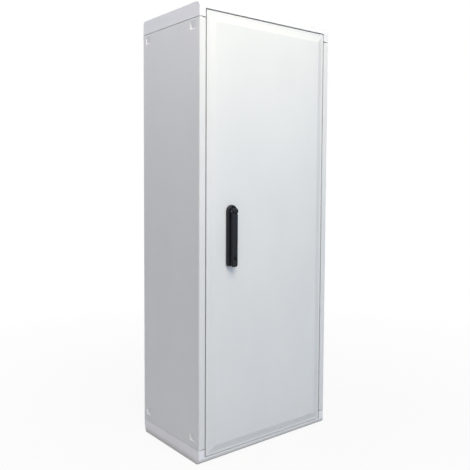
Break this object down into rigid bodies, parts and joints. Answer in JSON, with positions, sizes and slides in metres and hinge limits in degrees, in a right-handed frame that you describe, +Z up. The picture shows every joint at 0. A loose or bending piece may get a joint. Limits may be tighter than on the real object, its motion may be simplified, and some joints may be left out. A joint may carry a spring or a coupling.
{
  "type": "electrical cabinet",
  "caption": "Tall grey moulded outdoor cabinet for electrical equipment, with a bevelled hinged door, a black swing handle and rods that lock the door at top and bottom",
  "frame": {"origin": "on the floor, at the centre of the base's bolt holes and of its footprint", "axes": "+Z up; the door faces -Y and hangs on its +X edge"},
  "size_m": [0.55, 0.3645, 1.4],
  "materials": {
    "polyester": "fine-textured satin",
    "black_nylon": "fine-grained",
    "galvanised": "zinc-coated sheet",
    "steel": "turned, zinc plated",
    "brass": "turned",
    "blackened": "blackened",
    "acetal": "satin",
    "gasket": "closed-cell foam"
  },
  "bodies": {
    "cabinet": {"left_side_wall": "polyester", "right_side_wall": "polyester", "roof": "polyester", "base": "polyester", "rear_wall": "polyester", "rear_screws": "steel", "splice_plates": "galvanised", "splice_screws": "steel", "floor_plate_front": "polyester", "floor_plate_rear": "polyester", "floor_screws": "steel", "mounting_plate": "galvanised", "plate_standoffs": "steel", "plate_screws": "steel", "upper_pivot_pin": "steel", "lower_pivot_pin": "steel", "thrust_washer": "acetal", "upper_strike": "galvanised", "lower_strike": "galvanised", "left_strike": "galvanised", "strike_screws": "steel"},
    "door": {"door_panel": "polyester", "door_gasket": "gasket", "upper_pivot_bush": "brass", "lower_pivot_bush": "brass", "escutcheon_seal": "gasket", "escutcheon": "black_nylon", "escutcheon_screws": "steel", "lock_case": "galvanised", "case_strap": "galvanised", "case_screws": "steel", "strap_screws": "steel", "upper_rod_guide": "black_nylon", "lower_rod_guide": "black_nylon", "guide_screws": "steel"},
    "handle": {"handle_hub": "black_nylon", "lever_pin": "steel", "spindle": "steel", "spindle_screw": "steel", "pinion": "steel", "centre_latch": "galvanised"},
    "lever": {"lever": "black_nylon"},
    "lock_cylinder": {"lock_cylinder": "blackened"},
    "upper_rod": {"upper_rod": "galvanised"},
    "lower_rod": {"lower_rod": "galvanised"}
  },
  "joints": [
    {"name": "door_hinge", "type": "hinge", "parent": "cabinet", "child": "door", "pos_m": [0.2435, -0.1595, 0.7], "axis": [0, 0, 1], "range_deg": [0, 105]},
    {"name": "handle_turn", "type": "hinge", "parent": "door", "child": "handle", "pos_m": [-0.161, -0.176, 0.77798], "axis": [0, -1, 0], "range_deg": [0, 90]},
    {"name": "lever_lift", "type": "hinge", "parent": "handle", "child": "lever", "pos_m": [-0.161, -0.1875, 0.77798], "axis": [-1, 0, 0], "range_deg": [0, 45]},
    {"name": "key_turn", "type": "hinge", "parent": "lever", "child": "lock_cylinder", "pos_m": [-0.161, -0.1965, 0.63248], "axis": [0, -1, 0], "range_deg": [0, 90]},
    {"name": "upper_rod_slide", "type": "slide", "parent": "door", "child": "upper_rod", "axis": [0, 0, 1], "range_m": [0, 0.01885]},
    {"name": "lower_rod_slide", "type": "slide", "parent": "door", "child": "lower_rod", "axis": [0, 0, 1], "range_m": [-0.01885, 0]}
  ],
  "couplings": [
    {"joint": "upper_rod_slide", "follows": "handle_turn", "m_per_rad": 0.012},
    {"joint": "lower_rod_slide", "follows": "handle_turn", "m_per_rad": -0.012}
  ]
}
